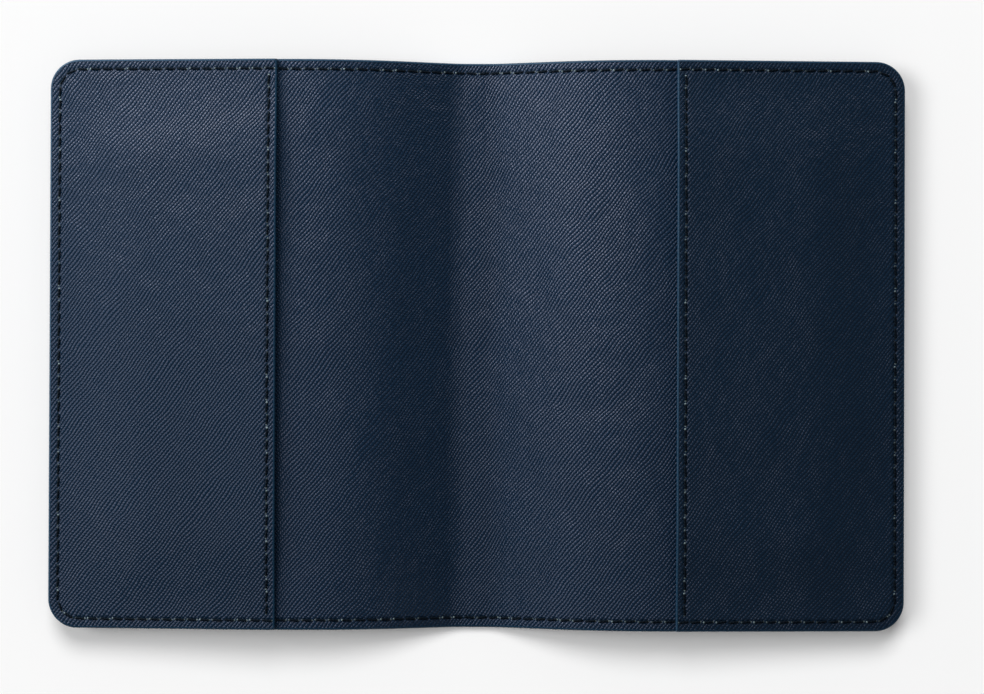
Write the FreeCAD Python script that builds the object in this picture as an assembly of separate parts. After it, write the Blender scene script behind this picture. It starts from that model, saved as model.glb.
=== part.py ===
# Passport holder, lying open with its inside up.
#
# Two leather sheets with an interlining between them make one long cover: a soft spine in the
# middle, and on each side a panel that rises from the spine, rounds over a low crest and falls
# gently to its outer edge. A flap is sewn on each end as a pocket for a passport's own cover.
#
# Frame: X across the open holder, Y along the spine, Z up. The origin is on the surface that the
# spine stands on, in the middle. Every sheet is drawn in (s, y, d): s is the length along the
# outside face from the middle of the spine, y is Y, and d is the height above the outside face.
import FreeCAD, Part

import math
import os

# Sizes in millimetres and degrees.

# Outline of the open cover.
HOLDER_HEIGHT = 140.0          # along the spine
CORNER_RADIUS = 7.0            # rounding of the four outer corners

# How the cover lies, as lengths and radii of its outside face.
SPINE_FLAT = 4.0               # flat strip that the holder stands on
VALLEY_RADIUS = 17.0           # bend from the flat strip up into the panel
RISE_ANGLE = 20.0              # slope of the panel beside the spine
SLOPE_LENGTH = 11.9            # straight run at that slope
CREST_RADIUS = 72.0            # bend over the crest
POCKET_FALL = 4.0              # slope of the pocket half, outwards and down
MOUTH_MARGIN = 0.6             # straight run between the crest and the pocket's mouth

# Sheets, from the outside to the inside.
OUTER_THICKNESS = 0.9
INTERLINING_THICKNESS = 0.4
LINING_THICKNESS = 0.7

# Pocket flap: a backing and a face leather, sewn down on three sides and raised in the middle.
FLAP_WIDTH = 56.1              # from the mouth to the outer edge
BACKING_THICKNESS = 0.3
FACE_THICKNESS = 0.8
POCKET_GAP = 0.9               # height of the pocket inside
POCKET_BORDER = 3.2            # sewn border, where the flap lies on the lining
POCKET_RAMP = 8.0              # width over which the flap rises from the border
POCKET_CHAMFER = 9.0           # cut across the pocket's two closed corners

# Sealing paint on the cut edges.
PAINT_THICKNESS = 0.25

# Lines where the cover bends when it is closed.
FOLD_LINE = 4.5                # beside the spine, as a length s
FLEX_TO_MOUTH = 5.5            # from the bend in the crest to the pocket's mouth
BEND_GAP = 0.3                 # relief between the sheets at each bending line

# Lockstitch seams.
SEAM_INSET = 2.2               # from the cut edge to the seam all round
FLAP_SEAM_INSET = 1.8          # from the pocket's mouth to the flap's own seam
STITCH_PITCH = 3.1
STITCH_SPACE = 0.6             # leather between one stitch and the next
THREAD_WIDTH = 0.55
THREAD_HEIGHT = 0.35
THREAD_TAPER = 0.12            # how much a stitch draws in from its foot to its back, all round
THREAD_CLEARANCE = 0.03        # between a stitch and the floor of its crease
CREASE_CLEARANCE = 0.05        # between a stitch and each wall of its crease, in the corners
CREASE_DEPTH = 0.15            # on the inside, where the thread stands proud
SEAM_END_SPACE = 1.2           # from the seam all round to the end of the flap's own seam

# Allowances of the drawing, which the holder itself doesn't have.
CUT_MARGIN = 1.0               # how far a cutting slab reaches past what it cuts
SAME_PLACE = 1e-4              # two points nearer than this are the same point

# Worked out from the sizes above.
HALF_HEIGHT = HOLDER_HEIGHT / 2
OUTER_TOP = OUTER_THICKNESS
INTERLINING_TOP = OUTER_TOP + INTERLINING_THICKNESS
LINING_TOP = INTERLINING_TOP + LINING_THICKNESS
FLAP_THICKNESS = BACKING_THICKNESS + FACE_THICKNESS
STITCH_BOW = STITCH_PITCH ** 2 / (8 * VALLEY_RADIUS)   # of the sheet over one stitch's length
OUTSIDE_CREASE_DEPTH = THREAD_HEIGHT + THREAD_CLEARANCE + STITCH_BOW
CORNER_BOW = STITCH_PITCH ** 2 / (8 * (CORNER_RADIUS - SEAM_INSET))   # of the seam's round corner
CREASE_WIDTH = THREAD_WIDTH + 2 * (CORNER_BOW + CREASE_CLEARANCE)

VALLEY_END = SPINE_FLAT / 2 + VALLEY_RADIUS * math.radians(RISE_ANGLE)
SLOPE_END = VALLEY_END + SLOPE_LENGTH
CREST_END = SLOPE_END + CREST_RADIUS * math.radians(RISE_ANGLE + POCKET_FALL)
MOUTH = CREST_END + MOUTH_MARGIN
FLEX_LINE = MOUTH - FLEX_TO_MOUTH
COVER_END = MOUTH + FLAP_WIDTH

# Each run of the outside face: where it ends, and its curvature, positive where it turns up.
RUNS = [
    (SPINE_FLAT / 2, 0.0),
    (VALLEY_END, 1 / VALLEY_RADIUS),
    (SLOPE_END, 0.0),
    (CREST_END, -1 / CREST_RADIUS),
    (COVER_END, 0.0),
]


def stand(s, d):
    """Returns X, Z and the slope in radians at length s and height d, left of the spine too."""
    x, z, slope, start = 0.0, 0.0, 0.0, 0.0
    for end, curvature in RUNS:
        last = end >= abs(s) or end == COVER_END
        length = (abs(s) if last else end) - start
        turn = curvature * length
        if curvature:
            x += (math.sin(slope + turn) - math.sin(slope)) / curvature
            z += (math.cos(slope) - math.cos(slope + turn)) / curvature
        else:
            x += length * math.cos(slope)
            z += length * math.sin(slope)
        slope += turn
        start = end
        if last:
            break
    side = math.copysign(1.0, s)
    return side * (x - d * math.sin(slope)), z + d * math.cos(slope), side * slope


def point(s, y, d):
    """Returns the place of (s, y, d) in the holder's frame."""
    x, z, _ = stand(s, d)
    return FreeCAD.Vector(x, y, z)


def normal(s):
    """Returns the direction of d at length s."""
    slope = stand(s, 0.0)[2]
    return FreeCAD.Vector(-math.sin(slope), 0, math.cos(slope))


def face_line(start, stop, d, y):
    """Returns the edges that follow the sheet at height d from s = start to s = stop."""
    ends = sorted([end for end, _ in RUNS[:-1]] + [-end for end, _ in RUNS[:-1]])
    stops = [start] + [s for s in ends if start < s < stop] + [stop]
    edges = []
    for a, b in zip(stops, stops[1:]):
        first, middle, last = (point(s, y, d) for s in (a, (a + b) / 2, b))
        bent = middle.distanceToLine(first, last - first) > SAME_PLACE
        edges.append(Part.Arc(first, middle, last) if bent else Part.LineSegment(first, last))
    return [edge.toShape() for edge in edges]


def prism(start, stop, low, high, y_low, y_high):
    """Returns the solid between two lengths s, two heights d and two values of Y."""
    bottom = face_line(start, stop, low, y_low)
    top = face_line(start, stop, high, y_low)
    ends = [
        Part.makeLine(point(s, y_low, low), point(s, y_low, high)) for s in (start, stop)
    ]
    wire = Part.Wire(Part.__sortEdges__(bottom + top + ends))
    return Part.Face(wire).extrude(FreeCAD.Vector(0, y_high - y_low, 0))


def round_corners(solid, end, low, high, half, radius):
    """Rounds the two corners of a sheet where its end at s = end meets its long sides."""
    corners = [point(end, y, (low + high) / 2) for y in (-half, half)]
    edges = [
        edge for edge in solid.Edges
        if any((edge.CenterOfMass - corner).Length < SAME_PLACE for corner in corners)
    ]
    return solid.makeFillet(radius, edges)


def sheet(start, stop, low, high, inset=0.0):
    """Returns a sheet from s = start to s = stop, drawn in by inset from the holder's outline.

    A sheet that reaches the outer end of the cover gets the outline's round corners.
    """
    half = HALF_HEIGHT - inset
    if stop < COVER_END:
        return prism(start, stop, low, high, -half, half)
    end = COVER_END - inset
    solid = prism(start, end, low, high, -half, half)
    return round_corners(solid, end, low, high, half, CORNER_RADIUS - inset)


def rim(start, stop, low, high, outer_inset, inner_inset):
    """Returns the band of a sheet that lies between two insets from the outline."""
    outer = sheet(start, stop, low, high, outer_inset)
    return outer.cut(sheet(start, stop, low, high, inner_inset))


# The pocket. Its half of the cover is flat, so its shapes have flat faces.

def pocket_corners(inset, d):
    """Returns the corners of the pocket's hollow at height d, drawn in by inset from the border.

    The hollow runs out past the mouth. Its two closed corners are cut across at 45 degrees.
    """
    far = COVER_END - POCKET_BORDER - inset
    near = CREST_END
    half = HALF_HEIGHT - POCKET_BORDER - inset
    cut = POCKET_CHAMFER - inset * (2 - math.sqrt(2))
    outline = [
        (near, -half), (far - cut, -half), (far, cut - half),
        (far, half - cut), (far - cut, half), (near, half),
    ]
    return [point(s, y, d) for s, y in outline]


def pocket_hollow():
    """Returns the space inside the pocket, from the lining up, with sloping sides."""
    foot = pocket_corners(0.0, LINING_TOP)
    roof = pocket_corners(POCKET_RAMP, LINING_TOP + POCKET_GAP)
    wires = [Part.makePolygon(corners + corners[:1]) for corners in (foot, roof)]
    return Part.makeLoft(wires, True, True)


def under_flap(height):
    """Returns all that lies above the lining and under a surface height above the hollow's."""
    raised = pocket_hollow()
    if not height:
        return raised
    raised.translate(normal(COVER_END) * height)
    return raised.fuse(sheet(CREST_END, COVER_END, LINING_TOP, LINING_TOP + height))


def flap_slab(start, stop, inset=0.0):
    """Returns a slab that is higher than the flap, to cut pieces of it out with."""
    flap_top = LINING_TOP + POCKET_GAP + FLAP_THICKNESS
    return sheet(start, stop, LINING_TOP - CUT_MARGIN, flap_top + CUT_MARGIN, inset)


def flap_layer(bottom, top, start, stop=COVER_END):
    """Returns the flap's material between two heights above the hollow's surface."""
    layer = under_flap(top).cut(under_flap(bottom))
    return layer.common(flap_slab(start, stop))


def flap_rise(y):
    """Returns how far the flap's surface stands above its border at Y, near the mouth."""
    share = (HALF_HEIGHT - POCKET_BORDER - abs(y)) / POCKET_RAMP
    return POCKET_GAP * min(1.0, max(0.0, share))


# Seams.

def straight_seam(start, stop, y):
    """Returns places (s, y) spaced a stitch apart from s = start to s = stop, at one Y."""
    count = max(1, round((stop - start) / STITCH_PITCH))
    return [(start + (stop - start) * i / count, y) for i in range(count + 1)]


def cross_seam(s, half):
    """Returns places (s, y) spaced a stitch apart from Y = -half to Y = half, at one s."""
    count = max(1, round(2 * half / STITCH_PITCH))
    return [(s, half * (2 * i / count - 1)) for i in range(count + 1)]


def flap_round_seam():
    """Returns places (s, y) along the seam on the flap's three closed sides, as one U."""
    radius = CORNER_RADIUS - SEAM_INSET
    centre_s = COVER_END - CORNER_RADIUS
    centre_y = HALF_HEIGHT - CORNER_RADIUS
    side = centre_s - MOUTH
    bend = radius * math.pi / 2
    total = 2 * side + 2 * bend + 2 * centre_y
    count = round(total / STITCH_PITCH)

    def place(run):
        """Returns (s, y) at the length run along the seam, from its lower end."""
        if run > total / 2:
            s, y = place(total - run)
            return s, -y
        if run < side:
            return MOUTH + run, SEAM_INSET - HALF_HEIGHT
        if run < side + bend:
            angle = (run - side) / radius
            return centre_s + radius * math.sin(angle), -centre_y - radius * math.cos(angle)
        return COVER_END - SEAM_INSET, run - side - bend - centre_y

    return [place(total * i / count) for i in range(count + 1)]


def stitch_blank(length):
    """Returns one stitch along X with its back up along Y: a bar that draws in to its back."""
    half = THREAD_WIDTH / 2
    return Part.makeWedge(
        0, 0, -half, THREAD_TAPER - half, THREAD_TAPER,
        length, THREAD_HEIGHT, half, half - THREAD_TAPER, length - THREAD_TAPER,
    )


def stitches(places, height, up=1):
    """Returns a stitch between each two places, lying on the sheet at height(y).

    Each is a bar with STITCH_SPACE left between it and the next, lifted where the sheet bows up
    between its ends. up is -1 on the outside face.
    """
    bars = []
    for a, b in zip(places, places[1:]):
        middle = ((a[0] + b[0]) / 2, (a[1] + b[1]) / 2)
        first, bed, last = (point(s, y, height(y)) for s, y in (a, middle, b))
        along = (last - first).normalize()
        away = normal(middle[0]) * up
        turn = FreeCAD.Rotation(along, away, along.cross(away), "XYZ")
        bow = max(0.0, (bed - (first + last) * 0.5).dot(away))
        lift = turn.multVec(FreeCAD.Vector(0, THREAD_CLEARANCE + bow, 0))
        bar = stitch_blank((last - first).Length - STITCH_SPACE)
        bar.Placement = FreeCAD.Placement(first + along * (STITCH_SPACE / 2) + lift, turn)
        bars.append(bar)
    return bars


def crease(start, stop, low, high):
    """Returns the cutter for the crease that the seam all round lies in."""
    half = CREASE_WIDTH / 2
    return rim(start, stop, low, high, SEAM_INSET - half, SEAM_INSET + half)


# Sub-parts of the right-hand half, and of the spine. Lengths s run from start to stop.

def outer_cover(start, stop):
    """Returns the outside leather, creased on its outside so that the thread lies flush."""
    leather = sheet(start, stop, 0.0, OUTER_TOP)
    return leather.cut(crease(start, stop, 0.0, OUTSIDE_CREASE_DEPTH))


def interlining(start, stop):
    """Returns the thin sheet that stiffens the cover between its two leathers."""
    return sheet(start, stop, OUTER_TOP, INTERLINING_TOP)


def lining(start, stop):
    """Returns the inside leather, creased along the seam wherever no flap covers it."""
    leather = sheet(start, stop, INTERLINING_TOP, LINING_TOP)
    open_end = min(stop, MOUTH)
    return leather.cut(crease(start, open_end, LINING_TOP - CREASE_DEPTH, LINING_TOP))


def edge_paint(start, stop, top):
    """Returns the paint on the cut edges of all sheets up to height top."""
    return rim(start, stop, 0.0, top, -PAINT_THICKNESS, 0.0)


def pocket_edge_paint(start):
    """Returns the paint round the pocket half, higher where the flap adds to the edge."""
    low = edge_paint(start, MOUTH, LINING_TOP)
    return low.fuse(edge_paint(MOUTH, COVER_END, LINING_TOP + FLAP_THICKNESS)).removeSplitter()


def flap_face():
    """Returns the flap's leather, creased along both of its seams."""
    leather = flap_layer(BACKING_THICKNESS, FLAP_THICKNESS, MOUTH)
    skin = flap_layer(FLAP_THICKNESS - CREASE_DEPTH, FLAP_THICKNESS, MOUTH)
    half = CREASE_WIDTH / 2
    seam = MOUTH + FLAP_SEAM_INSET
    round_band = flap_slab(MOUTH, COVER_END, SEAM_INSET - half)
    round_band = round_band.cut(flap_slab(MOUTH, COVER_END, SEAM_INSET + half))
    mouth_band = flap_slab(seam - half, seam + half, SEAM_INSET + half)
    return leather.cut(skin.common(round_band)).cut(skin.common(mouth_band))


def edge_stitches(start, stop):
    """Returns the stitches on the inside and the outside along both long edges of the lining."""
    inside = LINING_TOP - CREASE_DEPTH
    bars = []
    for y in (SEAM_INSET - HALF_HEIGHT, HALF_HEIGHT - SEAM_INSET):
        places = straight_seam(start, stop, y)
        bars += stitches(places, lambda _: inside)
        bars += stitches(places, lambda _: OUTSIDE_CREASE_DEPTH, up=-1)
    return bars


def pocket_stitches(start):
    """Returns the stitches of the seam all round in the pocket half."""
    inside = LINING_TOP + FLAP_THICKNESS - CREASE_DEPTH
    places = flap_round_seam()
    bars = edge_stitches(start, MOUTH)
    bars += stitches(places, lambda _: inside)
    bars += stitches(places, lambda _: OUTSIDE_CREASE_DEPTH, up=-1)
    return bars


def flap_stitches():
    """Returns the stitches of the flap's own seam, beside the pocket's mouth."""
    inside = LINING_TOP + FLAP_THICKNESS - CREASE_DEPTH
    half = HALF_HEIGHT - SEAM_INSET - SEAM_END_SPACE
    places = cross_seam(MOUTH + FLAP_SEAM_INSET, half)
    return stitches(places, lambda y: inside + flap_rise(y))


def build_spine():
    """Returns the nodes of the spine, between the two fold lines."""
    end = FOLD_LINE - BEND_GAP / 2
    return {
        "spine_outer_cover": outer_cover(-end, end),
        "spine_interlining": interlining(-end, end),
        "spine_lining": lining(-end, end),
        "spine_edge_paint": edge_paint(-end, end, LINING_TOP),
        "spine_stitches": Part.makeCompound(edge_stitches(-end, end)),
    }


def build_right_half():
    """Returns the nodes of the right-hand panel and pocket, without the side in their names."""
    panel = (FOLD_LINE + BEND_GAP / 2, FLEX_LINE - BEND_GAP / 2)
    pocket_start = FLEX_LINE + BEND_GAP / 2
    pocket = (pocket_start, COVER_END)
    return {
        "panel_outer_cover": outer_cover(*panel),
        "panel_interlining": interlining(*panel),
        "panel_lining": lining(*panel),
        "panel_edge_paint": edge_paint(*panel, LINING_TOP),
        "panel_stitches": Part.makeCompound(edge_stitches(*panel)),
        "pocket_outer_cover": outer_cover(*pocket),
        "pocket_interlining": interlining(*pocket),
        "pocket_lining": lining(*pocket),
        "pocket_edge_paint": pocket_edge_paint(pocket_start),
        "pocket_stitches": Part.makeCompound(pocket_stitches(pocket_start)),
        "flap_backing": flap_layer(0.0, BACKING_THICKNESS, MOUTH),
        "flap_leather": flap_face(),
        "flap_edge_paint": flap_layer(0.0, FLAP_THICKNESS, MOUTH - PAINT_THICKNESS, MOUTH),
        "flap_stitches": Part.makeCompound(flap_stitches()),
    }


def build():
    """Returns every node of the holder by name. The left half mirrors the right."""
    nodes = build_spine()
    middle, across = FreeCAD.Vector(0, 0, 0), FreeCAD.Vector(1, 0, 0)
    for name, shape in build_right_half().items():
        nodes["right_" + name] = shape
        nodes["left_" + name] = shape.mirror(middle, across)
    return nodes


def report_bends():
    """Prints the two bending lines of the right half, and the angles that close the holder."""
    fold, flex = point(FOLD_LINE, 0, LINING_TOP), point(FLEX_LINE, 0, LINING_TOP)
    lean = math.degrees(math.atan2(flex.z - fold.z, flex.x - fold.x))
    print(f"fold line x {fold.x:.3f} z {fold.z:.3f}, flex line x {flex.x:.3f} z {flex.z:.3f}")
    print(f"closed: fold {90 - lean:.2f} degrees, flex {POCKET_FALL + lean:.2f} degrees")


def main():
    """Builds the holder and writes one STEP file for each node."""
    os.makedirs("parts", exist_ok=True)
    for name, shape in sorted(build().items()):
        shape.exportStep(f"parts/{name}.step")
        print(f"{name}: {len(shape.Solids)} solids, {shape.Volume:.1f} mm3, {shape.isValid()}")
    report_bends()


main()
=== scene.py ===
"""Dresses the open passport holder: leather, edge paint, thread, floor, light and camera.

Lengths are in metres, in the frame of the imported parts. A place on the cover is (s, y, d): s runs
along the outside face from the middle of the spine, y runs along the spine, and d is the height
above the outside face. s is never negative: the left half is the right half mirrored in x.
"""
import logging
import math
from collections.abc import Callable
from dataclasses import dataclass
from enum import Enum

import bpy
import numpy as np
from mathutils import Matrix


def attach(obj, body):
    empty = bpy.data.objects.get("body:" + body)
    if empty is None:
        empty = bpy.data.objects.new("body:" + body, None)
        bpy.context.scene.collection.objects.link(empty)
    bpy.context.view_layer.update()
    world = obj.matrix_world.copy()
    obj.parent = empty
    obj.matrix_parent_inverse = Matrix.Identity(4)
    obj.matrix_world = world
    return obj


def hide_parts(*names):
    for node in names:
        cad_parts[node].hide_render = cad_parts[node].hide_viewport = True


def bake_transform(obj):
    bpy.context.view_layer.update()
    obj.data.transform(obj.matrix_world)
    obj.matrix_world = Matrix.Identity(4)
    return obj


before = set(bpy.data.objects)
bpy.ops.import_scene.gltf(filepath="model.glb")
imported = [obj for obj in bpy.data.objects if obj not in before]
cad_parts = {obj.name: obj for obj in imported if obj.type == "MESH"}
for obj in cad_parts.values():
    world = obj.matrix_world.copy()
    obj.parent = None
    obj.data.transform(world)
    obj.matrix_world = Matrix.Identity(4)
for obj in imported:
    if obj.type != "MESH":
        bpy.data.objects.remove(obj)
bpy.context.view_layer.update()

MM = 0.001
SHARP_EDGE = math.radians(50)    # faces that meet at more than this keep a crisp edge
GRADED_SAMPLES = 4000            # places at which a graded spacing is summed up
BEAD_POWER = 0.62                # a paint bead's section: 1 is a half circle, 0 a box
LOG = logging.getLogger("passport_holder")

Height = Callable[[np.ndarray, np.ndarray], np.ndarray]    # a height d, as a function of s and y


class Side(Enum):
    """A half of the holder, with the sign of its x."""

    LEFT = -1
    RIGHT = 1

    def body(self, part: str) -> str:
        """Returns the name of this side's body, node or piece, such as left_panel."""
        return f"{self.name.lower()}_{part}"


@dataclass(frozen=True)
class CoverShape:
    """The form of the cover, as the construction has it.

    The cross-section is a chain of straight runs and arcs: a flat strip under the spine, a bend
    up, a straight rise, a bend over the crest, and a straight fall to the outer edge.
    """

    half_height: float = 70 * MM
    corner_radius: float = 7 * MM
    spine_flat: float = 4 * MM
    valley_radius: float = 17 * MM
    rise_angle: float = math.radians(20)
    slope_length: float = 11.9 * MM
    crest_radius: float = 72 * MM
    pocket_fall: float = math.radians(4)
    mouth_margin: float = 0.6 * MM
    flap_width: float = 56.1 * MM
    outer_top: float = 0.9 * MM
    interlining_top: float = 1.3 * MM
    lining_top: float = 2.0 * MM
    backing: float = 0.3 * MM
    flap: float = 1.1 * MM
    pocket_gap: float = 0.9 * MM
    pocket_border: float = 3.2 * MM
    pocket_ramp: float = 22.0 * MM

    @property
    def valley_end(self) -> float:
        """Returns s where the bend beside the spine ends."""
        return self.spine_flat / 2 + self.valley_radius * self.rise_angle

    @property
    def slope_end(self) -> float:
        """Returns s where the straight rise ends."""
        return self.valley_end + self.slope_length

    @property
    def crest_end(self) -> float:
        """Returns s where the bend over the crest ends."""
        return self.slope_end + self.crest_radius * (self.rise_angle + self.pocket_fall)

    @property
    def mouth(self) -> float:
        """Returns s of the flap's free edge."""
        return self.crest_end + self.mouth_margin

    @property
    def end(self) -> float:
        """Returns s of the outer edge."""
        return self.mouth + self.flap_width

    def stand(self, s: np.ndarray, d: np.ndarray) -> tuple[np.ndarray, np.ndarray]:
        """Stands lengths and heights up into the cross-section.

        Each run adds its own share of x and z: a straight run adds its length times the cosine
        and sine of the slope, and an arc adds the differences of sine and cosine of the slope,
        divided by the curvature. The height d is then laid off square to the slope.

        Args:
            s: lengths along the outside face.
            d: heights above it, of the same shape.

        Returns:
            x and z, of the same shape.
        """
        runs = (
            (self.spine_flat / 2, 0.0),
            (self.valley_end, 1 / self.valley_radius),
            (self.slope_end, 0.0),
            (self.crest_end, -1 / self.crest_radius),
            (2 * self.end, 0.0),
        )
        x, z, slope = (np.zeros_like(s) for _ in range(3))
        start, angle = 0.0, 0.0
        for end, curvature in runs:
            length = np.clip(s, start, end) - start
            turn = curvature * length
            if curvature:
                x += (np.sin(angle + turn) - math.sin(angle)) / curvature
                z += (math.cos(angle) - np.cos(angle + turn)) / curvature
            else:
                x += length * math.cos(angle)
                z += length * math.sin(angle)
            slope += turn
            angle += curvature * (end - start)
            start = end
        return x - d * np.sin(slope), z + d * np.cos(slope)

    def place(self, side: Side, s: np.ndarray, y: np.ndarray, d: np.ndarray) -> np.ndarray:
        """Returns the points of (s, y, d) on one side, as an array of shape (..., 3)."""
        x, z = self.stand(s, d)
        return np.stack([x * side.value, y, z], axis=-1)

    def half_width(self, s: np.ndarray, inset: float) -> np.ndarray:
        """Returns how far the outline reaches in y at length s.

        It is the half height, less the inset, and along the last corner radius it follows a
        quarter circle.
        """
        radius = self.corner_radius - inset
        into = np.clip(s - (self.end - self.corner_radius), 0, radius)
        return self.half_height - inset - radius + np.sqrt(radius**2 - into**2)

    def rise(self, s: np.ndarray, y: np.ndarray) -> np.ndarray:
        """Returns how far the flap stands up from the lining at (s, y).

        It is the pocket's height times two smooth ramps, one from the long edges and one from
        the outer edge, each from 0 at the sewn border to 1 at the end of the ramp.
        """
        from_side = (self.half_height - self.pocket_border - np.abs(y)) / self.pocket_ramp
        from_end = (self.end - self.pocket_border - s) / self.pocket_ramp
        return self.pocket_gap * smooth(from_side) * smooth(from_end)

    def flap_top(self, s: np.ndarray, y: np.ndarray) -> np.ndarray:
        """Returns the height of the flap's face at (s, y), with no seam drawn in."""
        return self.lining_top + self.flap + self.rise(s, y)


def level(height: float) -> Height:
    """Returns the height function of a level face."""
    return lambda s, y: np.full_like(s, height)


def smooth(t: np.ndarray) -> np.ndarray:
    """Returns the smooth step of t: 0 up to 0, 1 from 1 on, and 3t^2 - 2t^3 between."""
    t = np.clip(t, 0, 1)
    return t * t * (3 - 2 * t)


def graded(start: float, stop: float, fine: list[tuple[float, float]],
           small: float, large: float) -> np.ndarray:
    """Returns values from start to stop, closer together inside the fine stretches.

    The spacing at each place is small in a fine stretch and large elsewhere. The values are
    where the running sum of one over the spacing reaches whole steps.

    Args:
        start: first value.
        stop: last value.
        fine: stretches with the small spacing, as pairs of low and high.
        small: spacing inside them.
        large: spacing elsewhere.
    """
    samples = np.linspace(start, stop, GRADED_SAMPLES)
    inside = np.zeros(samples.shape, bool)
    for low, high in fine:
        inside |= (samples >= low) & (samples <= high)
    density = np.where(inside, 1 / small, 1 / large)
    steps = np.concatenate([[0], np.cumsum((density[1:] + density[:-1]) / 2 * np.diff(samples))])
    count = max(2, int(round(steps[-1])) + 1)
    return np.interp(np.linspace(0, steps[-1], count), steps, samples)


def grid_quads(rows: int, columns: int, rings: bool = False) -> np.ndarray:
    """Returns the four corners of each face of a grid whose points are numbered row by row.

    Args:
        rows: number of rows of points.
        columns: number of points in a row.
        rings: whether each row's last point joins its first.
    """
    i = np.arange(rows - 1)[:, None]
    j = np.arange(columns if rings else columns - 1)[None, :]
    below, beside = i + 1, (j + 1) % columns
    corners = [i * columns + j, below * columns + j, below * columns + beside,
               i * columns + beside]
    return np.stack([np.broadcast_to(c, (i.size, j.size)) for c in corners], -1).reshape(-1, 4)


def end_caps(rows: int, columns: int) -> np.ndarray:
    """Returns the two faces that close a tube whose rings of points are numbered row by row."""
    ring = np.arange(columns)
    return np.stack([ring, ring[::-1] + (rows - 1) * columns])


def bead_section(count: int) -> tuple[np.ndarray, np.ndarray, np.ndarray]:
    """Returns a paint bead's section as angles, and as shares of its reach out and up.

    Out is a power of the angle's sine, and up is the same power of its cosine.
    """
    turn = np.linspace(0, math.pi, count)
    up = np.sign(np.cos(turn)) * np.abs(np.cos(turn)) ** BEAD_POWER
    return turn, np.sin(turn) ** BEAD_POWER, up


def put(name: str, data: bpy.types.ID) -> bpy.types.Object:
    """Makes an object of a mesh, a light or a camera, and puts it in the scene."""
    thing = bpy.data.objects.new(name, data)
    bpy.context.scene.collection.objects.link(thing)
    return thing


def make_piece(name: str, points: np.ndarray, faces: list, uv: np.ndarray, side: Side,
               material: bpy.types.Material) -> bpy.types.Object:
    """Makes a smooth-shaded mesh object at the origin, with a UV map in metres.

    Args:
        name: the piece's name.
        points: its vertices, of shape (n, 3).
        faces: its faces, which point outwards on the right half.
        uv: two numbers for each vertex.
        side: the half it is on; on the left half each face is turned round.
        material: its finish.

    Returns:
        The new object.
    """
    if side is Side.LEFT:
        faces = [face[::-1] for face in faces]
    mesh = bpy.data.meshes.new(name)
    mesh.from_pydata(points.tolist(), [], faces)
    corner_points = np.zeros(len(mesh.loops), np.int32)
    mesh.loops.foreach_get("vertex_index", corner_points)
    layer = mesh.uv_layers.new(name="sheet")
    layer.data.foreach_set("uv", uv[corner_points].astype(np.float32).ravel())
    mesh.polygons.foreach_set("use_smooth", np.ones(len(mesh.polygons), bool))
    mesh.set_sharp_from_angle(angle=SHARP_EDGE)
    mesh.materials.append(material)
    mesh.update()
    LOG.info("%s: %d vertices, %d faces", name, len(points), len(faces))
    return put(name, mesh)


# Seams.

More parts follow.
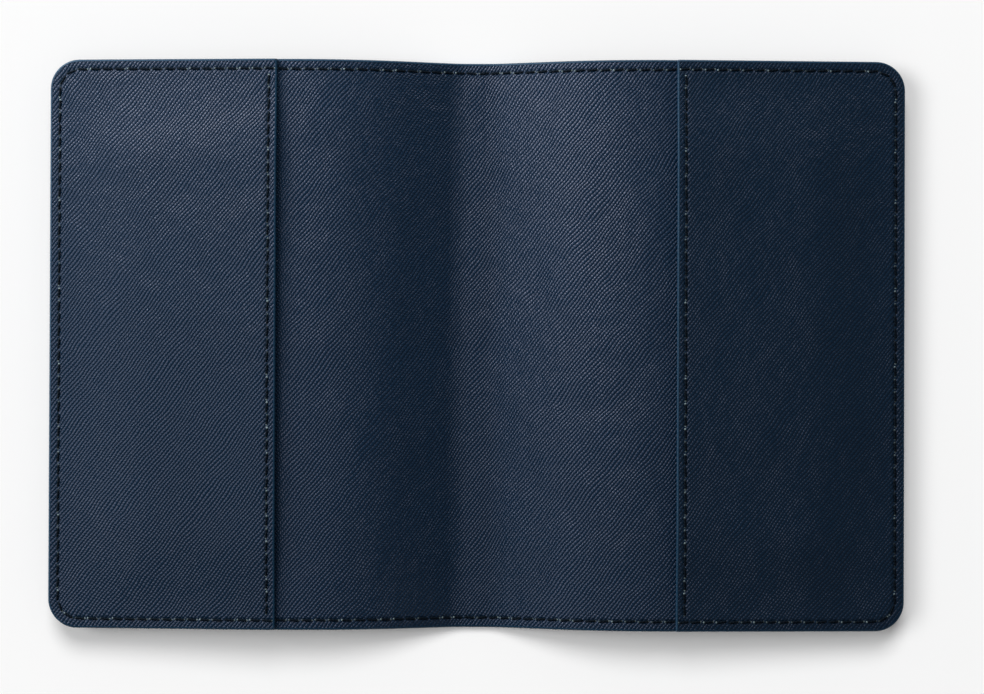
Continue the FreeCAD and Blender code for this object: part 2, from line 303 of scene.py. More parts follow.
@dataclass(frozen=True)
class Seams:
    """Where the lockstitch runs, and how the leather is drawn in under it.

    The round seam follows the outline at a fixed inset. It changes its count of stitches at the
    pocket's mouth. The flap seam runs along the mouth, through the flap only.
    """

    shape: CoverShape
    inset: float = 2.2 * MM
    flap_inset: float = 1.8 * MM
    pitch: float = 3.1 * MM
    groove_depth: float = 0.22 * MM
    deeper_outside: float = 2.2
    groove_width: float = 0.45 * MM
    lip_reach: float = 0.36 * MM
    lip_share: float = 0.95
    end_space: float = 1.2 * MM

    @property
    def long_pitch(self) -> float:
        """Returns the stitch length between the spine and the mouth."""
        return self.shape.mouth / round(self.shape.mouth / self.pitch)

    @property
    def radius(self) -> float:
        """Returns the seam's radius round a corner."""
        return self.shape.corner_radius - self.inset

    @property
    def straight(self) -> float:
        """Returns the length of the round seam from the mouth to the corner."""
        return self.shape.end - self.shape.corner_radius - self.shape.mouth

    @property
    def half_length(self) -> float:
        """Returns the round seam's length from the mouth to the middle of the outer edge."""
        across = self.shape.half_height - self.shape.corner_radius
        return self.straight + self.radius * math.pi / 2 + across

    @property
    def pocket_pitch(self) -> float:
        """Returns the stitch length round the pocket."""
        return 2 * self.half_length / round(2 * self.half_length / self.pitch)

    @property
    def flap_half(self) -> float:
        """Returns how far the flap seam reaches in y."""
        return self.shape.half_height - self.inset - self.end_space

    @property
    def flap_pitch(self) -> float:
        """Returns the stitch length of the flap seam."""
        return 2 * self.flap_half / round(2 * self.flap_half / self.pitch)

    def round_pocket(self, run: np.ndarray) -> tuple[np.ndarray, np.ndarray]:
        """Returns (s, y) on the round seam at lengths from its lower end at the mouth.

        It goes straight out, round a quarter circle, up the outer edge, round a second quarter
        circle and straight back. The upper half mirrors the lower in y.
        """
        half = np.minimum(run, 2 * self.half_length - run)
        bend = np.clip((half - self.straight) / self.radius, 0, math.pi / 2)
        out = np.minimum(half, self.straight)
        up = np.maximum(half - self.straight - self.radius * math.pi / 2, 0)
        s = self.shape.mouth + out + self.radius * np.sin(bend)
        y = up - (self.shape.half_height - self.shape.corner_radius) - self.radius * np.cos(bend)
        return s, np.where(run > self.half_length, -y, y)

    def nearest(self, s: np.ndarray, y: np.ndarray) -> tuple[np.ndarray, np.ndarray]:
        """Returns how far (s, y) is outside the round seam, and its nearest hole's distance.

        The distance along the seam is measured from the spine or from the mouth, round the
        corner as an angle times the radius, and folded into half a stitch.
        """
        shape = self.shape
        ds = s - (shape.end - shape.corner_radius)
        dy = np.abs(y) - (shape.half_height - shape.corner_radius)
        in_corner = (ds > 0) & (dy > 0)
        along_end = (ds > 0) & (dy <= 0) & (ds > dy)
        aside = np.where(in_corner, np.hypot(ds, dy) - self.radius, dy - self.radius)
        aside = np.where(along_end, ds - self.radius, aside)
        angle = np.arctan2(ds, np.where(in_corner, dy, 1.0))
        along = np.where(in_corner, self.straight + self.radius * angle, s - shape.mouth)
        end_run = self.straight + self.radius * math.pi / 2 - dy
        along = np.where(along_end, end_run, along)
        pitch = np.where(s < shape.mouth, self.long_pitch, self.pocket_pitch)
        return aside, np.abs((along / pitch + 0.5) % 1 - 0.5) * pitch

    def draw_in(self, aside: np.ndarray, to_hole: np.ndarray, depth: float) -> np.ndarray:
        """Returns how far a seam draws the leather in: a groove, with a lip at each needle hole.

        Both are bell curves of the distance, exp(-(distance / width) squared). The lip fills the
        groove again between two stitches and stands a little proud.
        """
        groove = depth * np.exp(-((aside / self.groove_width) ** 2))
        return groove * (1 - self.lip_share * np.exp(-((to_hole / self.lip_reach) ** 2)))

    def round_draw(self, s: np.ndarray, y: np.ndarray, times: float = 1.0) -> np.ndarray:
        """Returns how far the round seam draws the leather in at (s, y)."""
        return self.draw_in(*self.nearest(s, y), times * self.groove_depth)

    def flap_draw(self, s: np.ndarray, y: np.ndarray) -> np.ndarray:
        """Returns how far the flap's own seam draws its leather in at (s, y)."""
        aside = s - self.shape.mouth - self.flap_inset
        run = np.clip(y, -self.flap_half, self.flap_half) + self.flap_half
        to_hole = np.abs((run / self.flap_pitch + 0.5) % 1 - 0.5) * self.flap_pitch
        beyond = np.maximum(np.abs(y) - self.flap_half, 0)
        draw = self.draw_in(aside, np.hypot(to_hole, beyond), self.groove_depth)
        return draw * np.exp(-((beyond / self.groove_width) ** 2))


# Finishes.

class Nodes:
    """Builds a material's node tree in short calls."""

    def __init__(self, name: str) -> None:
        """Makes the material with its Principled shader and output."""
        self.material = bpy.data.materials.new(name)
        self.material.use_nodes = True
        self.tree = self.material.node_tree
        self.shader = self.tree.nodes["Principled BSDF"]

    def add(self, kind: str, inputs: dict | None = None, **settings: object) -> bpy.types.Node:
        """Adds a node.

        Args:
            kind: its type.
            inputs: for each input's name or number, a value or the output that feeds it.
            **settings: its properties.

        Returns:
            The new node.
        """
        node = self.tree.nodes.new(kind)
        for key, value in settings.items():
            setattr(node, key, value)
        for key, value in (inputs or {}).items():
            self.feed(node.inputs[key], value)
        return node

    def feed(self, socket: bpy.types.NodeSocket, value: object) -> None:
        """Links an output into a socket, or sets the socket to a plain value."""
        if isinstance(value, bpy.types.NodeSocket):
            self.tree.links.new(value, socket)
        else:
            socket.default_value = value

    def math(self, operation: str, *values: object) -> bpy.types.NodeSocket:
        """Returns the result of a math operation on numbers or outputs."""
        return self.add("ShaderNodeMath", dict(enumerate(values)), operation=operation).outputs[0]

    def sheet(self) -> bpy.types.NodeSocket:
        """Returns the place on the piece's UV map."""
        return self.add("ShaderNodeUVMap", uv_map="sheet").outputs["UV"]

    def parts(self, vector: bpy.types.NodeSocket) -> bpy.types.bpy_prop_collection:
        """Returns a vector's X, Y and Z."""
        return self.add("ShaderNodeSeparateXYZ", {0: vector}).outputs

    def arches(self, value: bpy.types.NodeSocket) -> bpy.types.NodeSocket:
        """Returns a row of sine arches, one from 0 to 1 and back for each whole step."""
        return self.math("SINE", self.math("MULTIPLY", self.math("FRACT", value), math.pi))

    def lift(self, wave: bpy.types.NodeSocket) -> bpy.types.NodeSocket:
        """Returns a wave of -1 to 1 carried over to 0 to 1."""
        return self.math("ADD", self.math("MULTIPLY", wave, 0.5), 0.5)

    def noise(self, vector: bpy.types.NodeSocket, scale: float,
              detail: float) -> bpy.types.NodeSocket:
        """Returns a noise value around 0.5, at a scale in cycles per unit of the vector."""
        inputs = {"Vector": vector, "Scale": scale, "Detail": detail, "Roughness": 0.5}
        return self.add("ShaderNodeTexNoise", inputs).outputs["Fac"]

    def luck(self, dimensions: str, **inputs: bpy.types.NodeSocket) -> bpy.types.NodeSocket:
        """Returns a number from 0 to 1 that is as good as random for each input."""
        return self.add("ShaderNodeTexWhiteNoise", inputs, noise_dimensions=dimensions).outputs[0]

    def blend(self, share: object, low: object, high: object) -> bpy.types.NodeSocket:
        """Returns a colour between two, by a share from 0 to 1. Each is a colour or an output."""
        node = self.add("ShaderNodeMix", {0: share}, data_type="RGBA")
        colours = {name: next(s for s in node.inputs if s.identifier == f"{name}_Color")
                   for name in "AB"}
        for name, colour in (("A", low), ("B", high)):
            self.feed(colours[name], (*colour, 1.0) if isinstance(colour, tuple) else colour)
        return next(s for s in node.outputs if s.identifier == "Result_Color")

    def span(self, value: bpy.types.NodeSocket, low: float, high: float) -> bpy.types.NodeSocket:
        """Returns a value of 0 to 1 carried over to low to high."""
        inputs = {"Value": value, "To Min": low, "To Max": high}
        return self.add("ShaderNodeMapRange", inputs).outputs["Result"]

    def shade(self, **inputs: object) -> None:
        """Sets or links the shader's inputs, whose names have _ for a space."""
        for key, value in inputs.items():
            self.feed(self.shader.inputs[key.replace("_", " ")], value)

    def bump(self, height: bpy.types.NodeSocket, distance: float) -> None:
        """Raises the surface by height times distance, as shading only."""
        node = self.add("ShaderNodeBump", {"Height": height, "Distance": distance})
        self.tree.links.new(node.outputs["Normal"], self.shader.inputs["Normal"])


@dataclass(frozen=True)
class CrossGrain:
    """Leather with a pressed cross grain: slanting ridges, each broken into low beads."""

    name: str
    # The ridge colour is lighter than the valley colour: painted highlight on the ridges and
    # painted shade in the valleys, over the leather's own blue.
    valley: tuple[float, float, float] = (0.0006, 0.0095, 0.0232)
    ridge: tuple[float, float, float] = (0.0022, 0.0180, 0.0425)
    depth: float = 0.16 * MM
    ridge_angle: float = math.radians(51)
    ridge_pitch: float = 0.78
    ridge_sway: float = 1.6
    ridge_kink: float = 0.16
    bead_pitch: float = 0.74
    bead_sway: float = 0.6
    between_beads: float = 0.35
    lowest_bead: float = 0.75
    cloudiness: float = 0.12
    valley_roughness: float = 0.34
    ridge_roughness: float = 0.25
    specular: float = 0.30
    gloss_tint: tuple[float, float, float] = (0.77, 0.78, 1.0)

    def material(self) -> bpy.types.Material:
        """Returns the leather.

        The UV map in millimetres is turned so that one axis runs along the ridges. Across them
        the height is a sine arch for each ridge, swayed by slow noise and kinked by quicker
        noise. Along each ridge a second row of arches, shifted at random from ridge to ridge,
        parts the crest into beads of random height. The colour goes from valley to ridge with
        the height, which paints shade into the valleys and a highlight onto the ridges, and very
        slow noise clouds it.
        """
        nodes = Nodes(self.name)
        flat = nodes.add("ShaderNodeMapping", {"Vector": nodes.sheet(), "Scale": (1 / MM,) * 3})
        turned = nodes.add("ShaderNodeVectorRotate", {"Vector": flat.outputs[0],
                                                      "Angle": -self.ridge_angle},
                           rotation_type="Z_AXIS").outputs[0]
        axes = nodes.parts(turned)
        sway = nodes.span(nodes.noise(turned, 0.07, 2.0), -self.ridge_sway, self.ridge_sway)
        kink = nodes.span(nodes.noise(turned, 0.45, 2.0), -self.ridge_kink, self.ridge_kink)
        across = nodes.math("DIVIDE", axes["Y"], self.ridge_pitch)
        across = nodes.math("ADD", nodes.math("ADD", across, sway), kink)
        row = nodes.math("FLOOR", across)
        shift = nodes.luck("1D", W=row)
        along = nodes.math("ADD", nodes.math("DIVIDE", axes["X"], self.bead_pitch), shift)
        sway = nodes.span(nodes.noise(turned, 0.5, 1.0), -self.bead_sway, self.bead_sway)
        along = nodes.math("ADD", along, sway)
        cell = nodes.add("ShaderNodeCombineXYZ", {0: nodes.math("FLOOR", along), 1: row})
        size = nodes.span(nodes.luck("2D", Vector=cell.outputs[0]), self.lowest_bead, 1.0)
        bead = nodes.math("MULTIPLY", nodes.span(nodes.arches(along), self.between_beads, 1.0),
                          size)
        height = nodes.math("MULTIPLY", nodes.arches(across), bead)

        tone = nodes.span(nodes.noise(turned, 0.05, 3.0), 1 - self.cloudiness, 1 + self.cloudiness)
        cloud = nodes.add("ShaderNodeCombineXYZ", {0: tone, 1: tone, 2: tone}).outputs[0]
        # Painted shade in the valleys and painted highlight on the ridges, blended by the grain's
        # height.
        dye_and_painted_shade = nodes.blend(height, self.valley, self.ridge)
        dye_and_painted_shade = nodes.add("ShaderNodeVectorMath", {0: dye_and_painted_shade, 1: cloud}, operation="MULTIPLY")
        rough = nodes.span(height, self.valley_roughness, self.ridge_roughness)
        nodes.shade(Base_Color=dye_and_painted_shade.outputs[0], Roughness=rough, Specular_IOR_Level=self.specular,
                    Specular_Tint=(*self.gloss_tint, 1.0))
        nodes.bump(height, self.depth)
        return nodes.material


@dataclass(frozen=True)
class EdgePaint:
    """Sealing paint in a few coats, with a soft, slightly uneven gloss."""

    name: str = "edge_paint"
    colour: tuple[float, float, float] = (0.004, 0.034, 0.072)
    thin_colour: tuple[float, float, float] = (0.002, 0.018, 0.043)
    brush: tuple[float, float, float] = (400, 4000, 1)
    smoothest: float = 0.36
    roughest: float = 0.54
    mark_depth: float = 0.02 * MM

    def material(self) -> bpy.types.Material:
        """Returns the paint: two blues by slow noise, and brush marks along the edge."""
        nodes = Nodes(self.name)
        marks = nodes.add("ShaderNodeMapping", {"Vector": nodes.sheet(), "Scale": self.brush})
        streak = nodes.noise(marks.outputs[0], 1.0, 3.0)
        colour = nodes.blend(nodes.span(streak, -0.2, 1.2), self.thin_colour, self.colour)
        rough = nodes.span(streak, self.smoothest, self.roughest)
        nodes.shade(Base_Color=colour, Roughness=rough, Specular_IOR_Level=0.35,
                    Specular_Tint=(0.7, 0.85, 1.0, 1.0))
        nodes.bump(streak, self.mark_depth)
        return nodes.material


@dataclass(frozen=True)
class Thread:
    """Waxed sewing thread of two plies, with a pale painted glint where it enters a needle hole."""

    name: str = "thread"
    colour: tuple[float, float, float] = (0.0015, 0.0025, 0.005)
    worn: tuple[float, float, float] = (0.003, 0.005, 0.009)
    painted_glint: tuple[float, float, float] = (0.46, 0.60, 0.62)
    glint_reach: float = 0.19
    turns: float = 4.0
    ply_depth: float = 0.06 * MM

    def material(self) -> bpy.types.Material:
        """Returns the thread: slanting plies as a wave of the run along plus the turn round.

        The run counts the stitches, so its whole numbers are the needle holes. A pale painted
        glint fades out from each hole, and every hole has its own share of it.
        """
        nodes = Nodes(self.name)
        axes = nodes.parts(nodes.sheet())
        phase = nodes.math("ADD", nodes.math("MULTIPLY", axes["X"], self.turns), axes["Y"])
        ply = nodes.lift(nodes.math("SINE", nodes.math("MULTIPLY", phase, 2 * math.pi)))
        # Painted glint: a pale spot at each needle hole stands in for light catching the thread
        # where it dives in.
        hole = nodes.math("FLOOR", nodes.math("ADD", axes["X"], 0.5))
        luck = nodes.luck("1D", W=hole)
        away = nodes.math("ABSOLUTE", nodes.math("SUBTRACT", axes["X"], hole))
        near = nodes.math("SUBTRACT", 1.0, nodes.math("DIVIDE", away, self.glint_reach))
        luck = nodes.math("MULTIPLY", luck, luck)
        share = nodes.math("MULTIPLY", nodes.math("MAXIMUM", near, 0.0), luck)
        dark = nodes.blend(ply, self.colour, self.worn)
        nodes.shade(Base_Color=nodes.blend(share, dark, self.painted_glint), Roughness=0.7,
                    Specular_IOR_Level=0.1, Specular_Tint=(0.5, 0.8, 1.0, 1.0))
        nodes.bump(ply, self.ply_depth)
        return nodes.material


@dataclass(frozen=True)
class InnerCloth:
    """Plain inner cloth: the stiffening felt and the flap's thin backing."""

    name: str
    colour: tuple[float, float, float]
    thread: float = 0.35 * MM
    thread_depth: float = 0.05 * MM
    shade: float = 0.75

    def material(self) -> bpy.types.Material:
        """Returns the cloth: two crossing waves of the UV map, one thread apart."""
        nodes = Nodes(self.name)
        axes = nodes.parts(nodes.sheet())
        turn = 2 * math.pi / self.thread
        warp = nodes.math("SINE", nodes.math("MULTIPLY", axes["X"], turn))
        weft = nodes.math("SINE", nodes.math("MULTIPLY", axes["Y"], turn))
        weave = nodes.lift(nodes.math("MULTIPLY", warp, weft))
        low = tuple(self.shade * part for part in self.colour)
        nodes.shade(Base_Color=nodes.blend(weave, low, self.colour), Roughness=0.85)
        nodes.bump(weave, self.thread_depth)
        return nodes.material


class Finishes:
    """The materials that the pieces share."""

    def __init__(self) -> None:
        """Makes them all."""
        # The lining's colours are paler than the flap leather's. In part this is painted light: it
        # makes up for the little light that the lamps give the shaded slopes beside the spine.
        self.lining = CrossGrain("lining_leather", (0.0012, 0.0110, 0.0272),
                                 (0.0034, 0.0212, 0.050), depth=0.185 * MM).material()
        self.flap = CrossGrain("flap_leather").material()
        self.outer = CrossGrain("outer_leather").material()
        self.paint = EdgePaint().material()
        self.thread = Thread().material()
        self.felt = InnerCloth("interlining_felt", (0.55, 0.55, 0.53)).material()
        self.backing = InnerCloth("flap_backing_cloth", (0.012, 0.016, 0.026)).material()


# Sub-assemblies.

class Stretch(Enum):
    """A stretch of a half cover that bends over one joint: s from the spine, or to the edge."""

    SPINE = "spine_part"
    POCKET = "pocket_part"


@dataclass(frozen=True)
class HalfCover:
    """One half of the cover: its sheets, its edge paint and its seam."""

    side: Side
    shape: CoverShape
    seams: Seams
    finishes: Finishes
    paint_out: float = 0.25 * MM
    paint_in: float = 0.30 * MM
    paint_lip: float = 0.05 * MM
    paint_step: float = 0.5 * MM
    cut_stitches: int = 5
    fine: float = 0.34 * MM
    finer_across: float = 1.6
    coarse: float = 1.6 * MM
    edge_zone: float = 4.2 * MM
    fold_from: float = 0.2 * MM
    fold_to: float = 8.2 * MM
    flex_reach: float = 5.6 * MM

    @property
    def cut(self) -> float:
        """Returns s of the needle hole where the two stretches meet, on the straight rise."""
        return self.cut_stitches * self.seams.long_pitch

    def span(self, stretch: Stretch) -> tuple[float, float]:
        """Returns the first and last s of a stretch."""
        return (0.0, self.cut) if stretch is Stretch.SPINE else (self.cut, self.shape.end)

    def name(self, what: str, stretch: Stretch) -> str:
        """Returns a piece's name."""
        return self.side.body(f"{what}_{stretch.value}")

    def fit(self, piece: bpy.types.Object, stretch: Stretch, node: str) -> None:
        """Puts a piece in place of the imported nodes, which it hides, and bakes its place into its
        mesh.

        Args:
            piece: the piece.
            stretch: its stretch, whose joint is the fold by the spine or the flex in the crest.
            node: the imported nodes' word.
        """
        joint = self.side.body("fold" if stretch is Stretch.SPINE else "flex")
        if stretch is Stretch.SPINE:
            bodies = ("spine", self.side.body("panel"))
            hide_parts(f"spine_{node}")
        else:
            bodies = (self.side.body("panel"), self.side.body("pocket"))
            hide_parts(*(f"{body}_{node}" for body in bodies))
        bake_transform(piece)

    def sheet(self, what: str, node: str, stretch: Stretch, low: Height, high: Height,
              fine_to: float, material: bpy.types.Material, slot: str) -> None:
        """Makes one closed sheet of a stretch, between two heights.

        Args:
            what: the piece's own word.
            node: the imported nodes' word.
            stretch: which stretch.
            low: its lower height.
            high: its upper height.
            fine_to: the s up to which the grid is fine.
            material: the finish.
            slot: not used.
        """
        shape, (start, stop) = self.shape, self.span(stretch)
        stop = min(stop, shape.end - self.paint_in / 2)
        half = shape.half_height
        s = graded(start, stop, [(start, fine_to), (shape.end - self.edge_zone * 2, shape.end)],
                   self.fine, self.coarse)
        y = graded(-half, half, [(-half, self.edge_zone - half), (half - self.edge_zone, half)],
                   self.fine / self.finer_across, self.coarse)
        piece = slab(self, self.name(what, stretch), s, y / half, low, high, material)
        self.fit(piece, stretch, node)

    def edge_top(self, s: np.ndarray) -> np.ndarray:
        """Returns the height of the painted edge: it steps up by the flap at the mouth."""
        step = smooth((s - self.shape.mouth) / self.paint_step + 0.5)
        return self.shape.lining_top + self.shape.flap * step

    def edge_paint(self, stretch: Stretch) -> None:
        """Makes the paint on the cut edges, a rounded bead carried along the outline."""
        shape, (start, stop) = self.shape, self.span(stretch)
        if stretch is Stretch.SPINE:
            s = np.linspace(start, stop, 40)
            strips = [(s, np.full_like(s, sign * shape.half_height), np.zeros_like(s),
                       np.full_like(s, sign)) for sign in (-1.0, 1.0)]
        else:
            strips = [self.outline()]
        beads = []
        for s, y, out_s, out_y in strips:
            run = np.concatenate([[0], np.cumsum(np.hypot(np.diff(s), np.diff(y)))])
            beads.append(bead(self, (s, y, out_s, out_y), run, 0.0, self.edge_top(s),
                              self.paint_in, 13))
        self.fit(join(self, self.name("edge_paint", stretch), beads, self.finishes.paint),
                 stretch, "edge_paint")

    def outline(self) -> tuple[np.ndarray, ...]:
        """Returns the outline from the cut round the outer edge, with its outward direction.

        It is the straight lower edge, a quarter circle, the outer edge, a quarter circle and the
        straight upper edge.

        Returns:
            s, y, and the two parts of the outward direction in (s, y).
        """
        shape = self.shape
        radius, corner = shape.corner_radius, shape.end - shape.corner_radius
        rim = shape.half_height - radius
        near, far = 0.5 * MM, 0.6 * MM    # on both sides of the mouth, where the paint steps up
        before = np.linspace(self.cut, shape.mouth - far, 70)
        step = np.linspace(shape.mouth - near, shape.mouth + near, 9)
        after = np.linspace(shape.mouth + far, corner, 90)[:-1]
        out = np.concatenate([before, step, after])
        turn = np.linspace(0, math.pi / 2, 18)
        sine, cosine = np.sin(turn), np.cos(turn)
        up = np.linspace(-rim, rim, 160)[1:-1]
        runs = (
            (out, -shape.half_height, 0, -1),
            (corner + radius * sine, -rim - radius * cosine, sine, -cosine),
            (shape.end, up, 1, 0),
            (corner + radius * cosine, rim + radius * sine, cosine, sine),
            (out[::-1], shape.half_height, 0, 1),
        )
        whole = [np.broadcast_arrays(*run) for run in runs]
        return tuple(np.concatenate(part).astype(float) for part in zip(*whole))

    def stitches(self, stretch: Stretch) -> None:
        """Makes the round seam's stitches of a stretch, inside and outside."""
        shape, seams = self.shape, self.seams
        first, last = 0, self.cut_stitches
        if stretch is Stretch.POCKET:
            first, last = last, round(shape.mouth / seams.long_pitch)
        s = np.arange(first, last + 1) * seams.long_pitch
        rows = [(s, np.full_like(s, sign * (shape.half_height - seams.inset)))
                for sign in (-1.0, 1.0)]
        inside = [StitchRow(*row, level(shape.lining_top), 1.0) for row in rows]
        if stretch is Stretch.POCKET:
            count = round(2 * seams.half_length / seams.pitch)
            pocket = seams.round_pocket(np.linspace(0, 2 * seams.half_length, count + 1))
            inside.append(StitchRow(*pocket, shape.flap_top, 1.0))
            rows.append(pocket)
        outside = [StitchRow(*row, level(0.0), -1.0) for row in rows]
        piece = sew(self, self.name("stitches", stretch), inside + outside)
        self.fit(piece, stretch, "stitches")

    def build(self) -> None:
        """Makes every piece of the half cover."""
        shape, seams, looks = self.shape, self.seams, self.finishes
        for stretch in Stretch:
            self.sheet("outer_leather", "outer_cover", stretch,
                       lambda s, y: seams.round_draw(s, y, seams.deeper_outside),
                       level(shape.outer_top), shape.end, looks.outer, "outer_leather")
            self.sheet("interlining", "interlining", stretch, level(shape.outer_top),
                       level(shape.interlining_top), 0.0, looks.felt, "interlining")
            self.sheet("lining", "lining", stretch, level(shape.interlining_top),
                       lambda s, y: shape.lining_top - np.where(
                           s < shape.mouth, seams.round_draw(s, y), 0.0),
                       shape.mouth + 1 * MM, looks.lining, "lining_leather")
            self.edge_paint(stretch)
            self.stitches(stretch)


def slab(cover: HalfCover, name: str, s: np.ndarray, share: np.ndarray, low: Height,
         high: Height, material: bpy.types.Material) -> bpy.types.Object:
    """Makes a closed sheet between two heights, over a grid of lengths and shares across.

    Each grid point is used at the low and the high height, and walls close the four sides. A
    share of 1 is the outline, less half of the paint's width inside it.
    """
    shape, side = cover.shape, cover.side
    rows, columns = s.size, share.size
    ss = np.repeat(s[:, None], columns, 1)
    yy = shape.half_width(s, cover.paint_in / 2)[:, None] * share[None, :]
    top = shape.place(side, ss, yy, high(ss, yy)).reshape(-1, 3)
    bottom = shape.place(side, ss, yy, low(ss, yy)).reshape(-1, 3)
    upper = grid_quads(rows, columns)
    count = rows * columns
    lower = upper[:, ::-1] + count
    number = np.arange(count).reshape(rows, columns)
    rim = np.concatenate([number[:-1, 0], number[-1, :-1], number[:0:-1, -1], number[0, :0:-1]])
    after = np.roll(rim, -1)
    walls = np.stack([rim, rim + count, after + count, after], -1)
    faces = np.concatenate([upper, lower, walls]).tolist()
    uv = np.stack([ss * side.value, yy], -1).reshape(-1, 2)
    return make_piece(name, np.concatenate([top, bottom]), faces, np.concatenate([uv, uv]), side,
                      material)


def bead(cover: HalfCover, path: tuple[np.ndarray, ...], run: np.ndarray, low: np.ndarray | float,
         high: np.ndarray | float, inside: float, count: int) -> tuple[np.ndarray, ...]:
    """Works out a strip of paint with a bead's section and a flat back, carried along a path.

    Args:
        cover: the half cover, with the paint's thickness.
        path: s and y along the strip, and the outward direction's parts in s and y.
        run: the length along the strip.
        low: the height of the painted edge's foot.
        high: the height of its top.
        inside: how far the paint reaches in behind the path.
        count: number of points in the section.

    Returns:
        Its points, faces and UV values.
    """
    turn, reach, up = bead_section(count)
    out = (inside + cover.paint_out) * reach - inside
    s, y, out_s, out_y, low, high, along = (
        part[:, None] for part in np.broadcast_arrays(*path, low, high, run))
    height = (low + high) / 2 + ((high - low) / 2 + cover.paint_lip) * up
    points = cover.shape.place(cover.side, s + out_s * out, y + out_y * out, height)
    quads, caps = grid_quads(run.size, count, rings=True), end_caps(run.size, count)
    if np.all(y > 0):
        quads, caps = quads[:, ::-1], caps[:, ::-1]
    uv = np.stack(np.broadcast_arrays(along, turn * MM), -1)
    return points.reshape(-1, 3), [quads, caps], uv.reshape(-1, 2)


def join(cover: HalfCover, name: str, strips: list[tuple],
         material: bpy.types.Material) -> bpy.types.Object:
    """Makes one piece of several strips, each with its points, its groups of faces and its UV."""
    faces, first = [], 0
    for points, groups, _ in strips:
        for group in groups:
            faces += (group + first).tolist()
        first += len(points)
    points, _, uv = zip(*strips)
    return make_piece(name, np.concatenate(points), faces, np.concatenate(uv), cover.side,
                      material)


@dataclass(frozen=True)
class Stitch:
    """One stitch: a bar from hole to hole that thins out and dives at both ends."""

    radius: float = 0.29 * MM
    thinning: float = 0.45
    dive: float = 0.36 * MM
    bury: float = 0.05 * MM
    slant: float = 0.16 * MM
    unevenness: float = 0.03 * MM
    rings: int = 11
    sides: int = 8
    seed: int = 7


@dataclass(frozen=True)
class StitchRow:
    """A row of needle holes, with the height of the leather that the stitches lie on.

    The stitches stand up from it where up is 1, and down from it where up is -1.
    """

    s: np.ndarray
    y: np.ndarray
    height: Height
    up: float


def sew(cover: HalfCover, name: str, rows: list[StitchRow]) -> bpy.types.Object:
    """Makes the stitches of some rows as one piece.

    A stitch is a round bar from hole to hole. Its middle lies in the seam's groove. Its two ends
    dive into the holes as the fourth power of the distance from the middle, and thin out as the
    sixth. It slants a little across the seam, as a lockstitch does. A row's stitches are worked
    out at once, as an array of (stitch, ring, angle).
    """
    stitch = Stitch()
    along = (1 - np.cos(np.linspace(0, math.pi, stitch.rings))) / 2
    turn = np.linspace(0, 2 * math.pi, stitch.sides, endpoint=False)
    t = along[None, :, None]
    off = np.abs(2 * t - 1)
    thick = stitch.radius * (1 - stitch.thinning * off**6)
    quads = grid_quads(along.size, turn.size, rings=True)
    caps = end_caps(along.size, turn.size)
    rng = np.random.default_rng(stitch.seed)
    strips = []
    for row in rows:
        a_s, b_s, a_y, b_y = row.s[:-1], row.s[1:], row.y[:-1], row.y[1:]
        a_s, b_s, a_y, b_y = (place[:, None, None] for place in (a_s, b_s, a_y, b_y))
        length = np.hypot(b_s - a_s, b_y - a_y)
        t_s, t_y = (b_s - a_s) / length, (b_y - a_y) / length
        size = (length.size, along.size, turn.size)
        jitter = rng.normal(0, stitch.unevenness, length.size)[:, None, None]
        aside = stitch.slant * (2 * t - 1) * (1 - off**4) + jitter + thick * np.cos(turn)
        centre_s = np.broadcast_to(a_s + t_s * length * t, size)
        centre_y = np.broadcast_to(a_y + t_y * length * t, size)
        lie = -stitch.bury - stitch.dive * off**4
        d = row.height(centre_s, centre_y) + row.up * (lie + thick * np.sin(turn))
        points = cover.shape.place(cover.side, centre_s - t_y * aside, centre_y + t_s * aside, d)
        starts = np.arange(length.size)[:, None, None] * along.size * turn.size
        groups = [(ring[None] + starts).reshape(-1, ring.shape[1])
                  for ring in ((quads[:, ::-1], caps) if row.up > 0 else (quads, caps[:, ::-1]))]
        count = np.arange(length.size)[:, None, None] + np.broadcast_to(t, size)
        uv = np.stack(np.broadcast_arrays(count, turn / (2 * math.pi)), -1)
        strips.append((points.reshape(-1, 3), groups, uv.reshape(-1, 2)))
    return join(cover, name, strips, cover.finishes.thread)


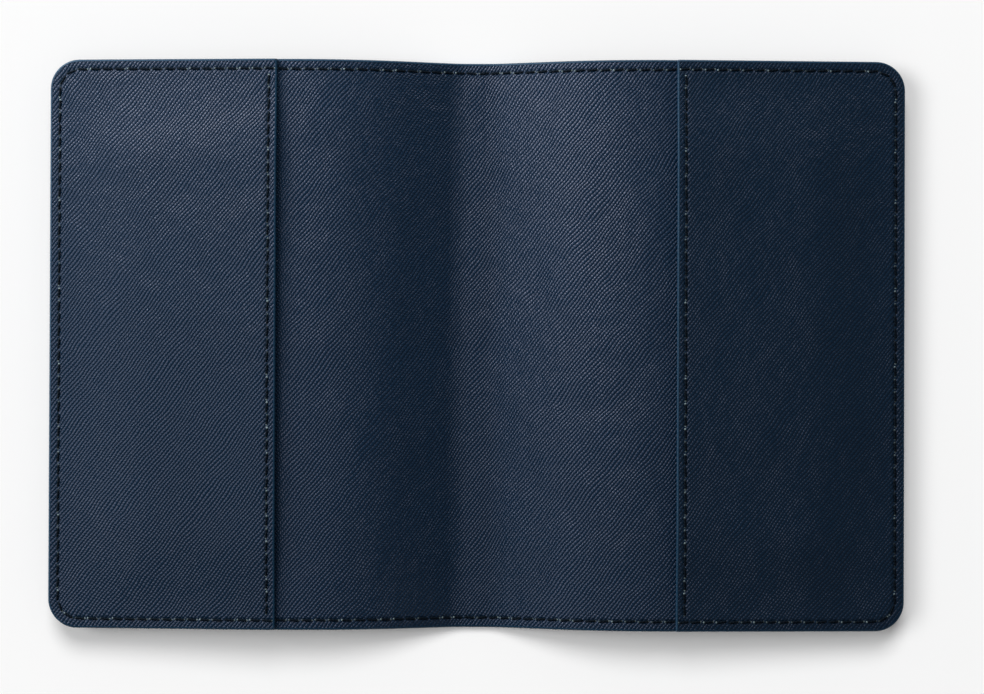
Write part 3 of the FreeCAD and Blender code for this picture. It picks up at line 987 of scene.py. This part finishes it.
@dataclass(frozen=True)
class Flap:
    """A pocket flap: its leather, its backing, the paint on its free edge and its own seam."""

    cover: HalfCover
    edge_in: float = 0.2 * MM

    def ride(self, piece: bpy.types.Object, node: str) -> None:
        """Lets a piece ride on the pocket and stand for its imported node."""
        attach(piece, self.cover.side.body("pocket"))
        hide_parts(self.cover.side.body(f"flap_{node}"))

    def layer(self, what: str, node: str, low: Height, high: Height, fine: float,
              material: bpy.types.Material, slot: str) -> None:
        """Makes one layer of the flap over the whole pocket, between two heights."""
        cover, shape = self.cover, self.cover.shape
        half, zone = shape.half_height, cover.edge_zone
        s = graded(shape.mouth, shape.end - cover.paint_in / 2, [(0, shape.end)], fine,
                   cover.coarse)
        y = graded(-half, half, [(-half, zone - half), (half - zone, half)],
                   fine / cover.finer_across, cover.coarse / 2)
        self.ride(slab(cover, cover.side.body(what), s, y / half, low, high, material), node)

    def mouth_paint(self) -> None:
        """Makes the paint on the free edge: a rounded bead that follows the flap's rise."""
        cover, shape = self.cover, self.cover.shape
        half = shape.half_height - cover.paint_in
        y = np.linspace(-half, half, 200)
        foot = shape.lining_top + shape.rise(np.full_like(y, shape.mouth), y)
        strip = bead(cover, (shape.mouth, y, -1.0, 0.0), y, foot, foot + shape.flap,
                     self.edge_in, 11)
        name = cover.side.body("flap_mouth_paint")
        self.ride(join(cover, name, [strip], cover.finishes.paint), "edge_paint")

    def seam(self) -> None:
        """Makes the flap's own stitches, beside its free edge."""
        cover, shape, seams = self.cover, self.cover.shape, self.cover.seams
        count = round(2 * seams.flap_half / seams.pitch)
        y = np.linspace(-seams.flap_half, seams.flap_half, count + 1)
        row = StitchRow(np.full_like(y, shape.mouth + seams.flap_inset), y, shape.flap_top, 1.0)
        self.ride(sew(cover, cover.side.body("flap_seam"), [row]), "stitches")

    def build(self) -> None:
        """Makes every piece of the flap."""
        cover = self.cover
        shape, seams = cover.shape, cover.seams
        self.layer("flap_face_leather", "leather",
                   lambda s, y: shape.lining_top + shape.backing + shape.rise(s, y),
                   lambda s, y: shape.flap_top(s, y) - seams.round_draw(s, y)
                   - seams.flap_draw(s, y),
                   cover.fine, cover.finishes.flap, "flap_leather")
        self.layer("flap_back_cloth", "backing",
                   lambda s, y: shape.lining_top + shape.rise(s, y) + 0.01 * MM,
                   lambda s, y: shape.lining_top + shape.backing + shape.rise(s, y),
                   cover.coarse, cover.finishes.backing, "flap_backing")
        self.mouth_paint()
        self.seam()


class Lights(Enum):
    """What a lamp lights, with the link state that the floor has for it."""

    HOLDER = "EXCLUDE"
    PAPER = "INCLUDE"


@dataclass(frozen=True)
class Lamp:
    """A round soft lamp: its direction from the holder, its light, its distance and its width.

    A strength of 1 lights a surface that faces the lamp so that a colour renders as written.
    """

    name: str
    lights: Lights
    azimuth: float
    elevation: float
    strength: float
    distance: float = 0.40
    width: float = 0.20

    def build(self, floor: bpy.types.Object) -> None:
        """Makes the lamp, flagged off the floor or off the holder.

        Azimuth is counted from +X towards +Y, in degrees.

        Args:
            floor: the floor, which the flag keeps out of the light or alone in it.
        """
        light = bpy.data.lights.new(self.name, "AREA")
        light.shape, light.size = "DISK", self.width
        light.energy = self.strength * (math.pi * self.distance) ** 2
        turn, lift = math.radians(self.azimuth), math.radians(self.elevation)
        lamp = put(self.name, light)
        lamp.location = (self.distance * math.cos(turn) * math.cos(lift),
                         self.distance * math.sin(turn) * math.cos(lift),
                         self.distance * math.sin(lift))
        lamp.rotation_euler = (0, math.pi / 2 - lift, turn)
        flag = bpy.data.collections.new(f"{self.name}_flag")
        flag.objects.link(floor)
        lamp.light_linking.receiver_collection = flag
        flag.collection_objects[0].light_linking.link_state = self.lights.value


@dataclass(frozen=True)
class Studio:
    """The floor, the light and the camera."""

    world: float = 0.20
    paper: float = 0.94
    floor_size: float = 6.0
    camera_place: tuple[float, float, float] = (8.6 * MM, -5.7 * MM, 651.2 * MM)
    camera_turn: tuple[float, float, float] = (0.465, 0.422, 0.219)
    lens: float = 95.3
    lamps: tuple[Lamp, ...] = (
        Lamp("low_key", Lights.HOLDER, 135, 12, 0.87),
        Lamp("low_left", Lights.HOLDER, 178, 12, 0.34),
        Lamp("low_top", Lights.HOLDER, 88, 20, 0.40),
        Lamp("high_top", Lights.HOLDER, 131, 42, 0.19),
        Lamp("high_left", Lights.HOLDER, 166, 42, 0.23),
        Lamp("over_left", Lights.HOLDER, 160, 60, 0.13),
        Lamp("low_right", Lights.HOLDER, 40, 12, 0.07, 0.80, 0.40),
        Lamp("paper_top", Lights.PAPER, 94, 55, 0.56, 4.0, 2.0),
        Lamp("paper_left", Lights.PAPER, 171, 55, 0.40, 4.0, 2.0),
        Lamp("paper_over", Lights.PAPER, 0, 90, 0.09, 4.0, 4.0),
    )

    def floor(self) -> bpy.types.Object:
        """Makes and returns the floor, a sheet of pale paper."""
        half = self.floor_size / 2
        mesh = bpy.data.meshes.new("floor")
        corners = [(-half, -half, 0), (half, -half, 0), (half, half, 0), (-half, half, 0)]
        mesh.from_pydata(corners, [], [(0, 1, 2, 3)])
        nodes = Nodes("floor_paper")
        nodes.shade(Base_Color=(*(self.paper,) * 3, 1.0), Roughness=0.9, Specular_IOR_Level=0.0)
        mesh.materials.append(nodes.material)
        floor = put("floor", mesh)
        return floor

    def sky(self) -> None:
        """Makes the world: plain white light, and the paper's white where the camera sees it."""
        world = bpy.data.worlds.new("studio")
        world.use_nodes = True
        tree = world.node_tree
        background = tree.nodes["Background"]
        path = tree.nodes.new("ShaderNodeLightPath")
        strength = tree.nodes.new("ShaderNodeMapRange")
        strength.inputs["To Min"].default_value = self.world
        strength.inputs["To Max"].default_value = self.paper
        tree.links.new(path.outputs["Is Camera Ray"], strength.inputs["Value"])
        tree.links.new(strength.outputs["Result"], background.inputs["Strength"])
        background.inputs["Color"].default_value = (1, 1, 1, 1)
        bpy.context.scene.world = world

    def camera(self) -> None:
        """Makes the camera, which looks down from above the holder, turned a little in degrees."""
        data = bpy.data.cameras.new("camera")
        data.lens = self.lens
        camera = put("camera", data)
        camera.location = self.camera_place
        camera.rotation_euler = [math.radians(turn) for turn in self.camera_turn]
        bpy.context.scene.camera = camera

    def build(self) -> None:
        """Makes the studio."""
        bpy.context.scene.view_settings.view_transform = "Standard"
        floor = self.floor()
        self.sky()
        for lamp in self.lamps:
            lamp.build(floor)
        self.camera()


def main() -> None:
    """Builds the studio, then both halves of the holder."""
    logging.basicConfig(level=logging.INFO, format="%(message)s")
    Studio().build()
    shape, finishes = CoverShape(), Finishes()
    for side in Side:
        cover = HalfCover(side, shape, Seams(shape), finishes)
        cover.build()
        Flap(cover).build()


if __name__ == "__main__":
    main()
